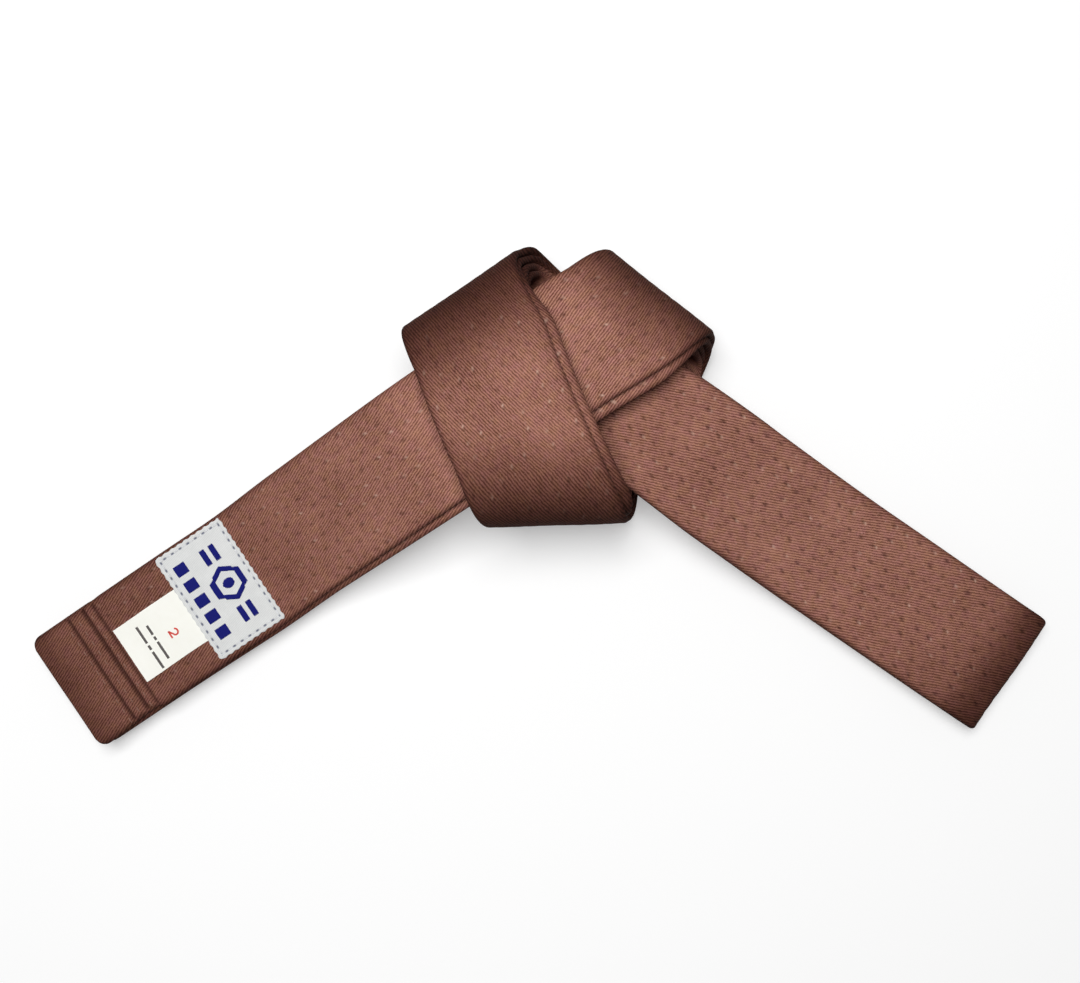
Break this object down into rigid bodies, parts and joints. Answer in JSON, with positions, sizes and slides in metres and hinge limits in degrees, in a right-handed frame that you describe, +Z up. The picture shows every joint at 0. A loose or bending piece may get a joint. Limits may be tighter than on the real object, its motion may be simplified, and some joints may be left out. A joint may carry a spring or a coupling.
{
  "type": "martial arts belt",
  "caption": "Brown quilted cotton belt folded into a flat pack of nested layers, tied in one overhand knot, with a woven label and a size tag on one tail.",
  "frame": {"origin": "on the table plane, under the middle of the knotted belt's bounding box", "axes": "+Z up from the table through the four layers; +X from the hemmed, labelled tail towards the looped tail; +Y towards the top of the knot"},
  "size_m": [0.316, 0.1538, 0.0426],
  "materials": {
    "brown_twill": "brown cotton twill, matt",
    "core_cotton": "undyed stiff cotton",
    "quilting_thread": "brown polyester thread",
    "label_white": "pale woven label",
    "emblem_blue": "blue woven thread",
    "label_thread": "pale sewing thread",
    "tag_ivory": "ivory satin tape",
    "tag_print_red": "red print",
    "tag_print_dark": "dark grey print"
  },
  "bodies": {
    "knot": {"knot_cover": "brown_twill", "knot_core_outer_plies": "core_cotton", "knot_core_inner_plies": "core_cotton", "knot_stitch_rows": "quilting_thread"},
    "left_tail": {"left_tail_cover": "brown_twill", "left_tail_core_outer_plies": "core_cotton", "left_tail_core_inner_plies": "core_cotton", "left_tail_stitch_rows": "quilting_thread"},
    "left_end": {"left_end_cover": "brown_twill", "left_end_core_outer_plies": "core_cotton", "left_end_core_inner_plies": "core_cotton", "left_end_stitch_rows": "quilting_thread", "end_hem_flaps": "brown_twill", "end_hem_stitching": "quilting_thread", "brand_label": "label_white", "label_emblem": "emblem_blue", "label_edge_stitching": "label_thread", "size_tag_tuck": "tag_ivory"},
    "size_tag_flap": {"size_tag": "tag_ivory", "size_tag_numeral": "tag_print_red", "size_tag_print_bars": "tag_print_dark"},
    "right_tail": {"right_tail_cover": "brown_twill", "right_tail_core_outer_plies": "core_cotton", "right_tail_core_inner_plies": "core_cotton", "right_tail_stitch_rows": "quilting_thread"},
    "right_end": {"right_end_cover": "brown_twill", "right_end_core_outer_plies": "core_cotton", "right_end_core_inner_plies": "core_cotton", "right_end_stitch_rows": "quilting_thread"}
  },
  "joints": [
    {"name": "left_tail_bend", "type": "hinge", "parent": "knot", "child": "left_tail", "pos_m": [-0.05064, 0.00455, 0.01907], "axis": [-0.5592, 0.829, 0], "range_deg": [-35, 35], "stiffness_Nm_per_rad": 0.01},
    {"name": "left_end_bend", "type": "hinge", "parent": "left_tail", "child": "left_end", "pos_m": [-0.08049, -0.01559, 0.00626], "axis": [-0.5592, 0.829, 0], "range_deg": [-35, 35], "stiffness_Nm_per_rad": 0.01},
    {"name": "size_tag_lift", "type": "hinge", "parent": "left_end", "child": "size_tag_flap", "pos_m": [-0.10902, -0.03622, 0.01004], "axis": [-0.5592, 0.829, 0], "range_deg": [0, 110]},
    {"name": "right_tail_bend", "type": "hinge", "parent": "knot", "child": "right_tail", "pos_m": [0.05693, 0.00719, 0.01357], "axis": [-0.5635, -0.8261, 0], "range_deg": [-35, 35], "stiffness_Nm_per_rad": 0.01},
    {"name": "right_end_bend", "type": "hinge", "parent": "right_tail", "child": "right_end", "pos_m": [0.09989, -0.02211, 0.00494], "axis": [-0.5635, -0.8261, 0], "range_deg": [-35, 35], "stiffness_Nm_per_rad": 0.01}
  ]
}
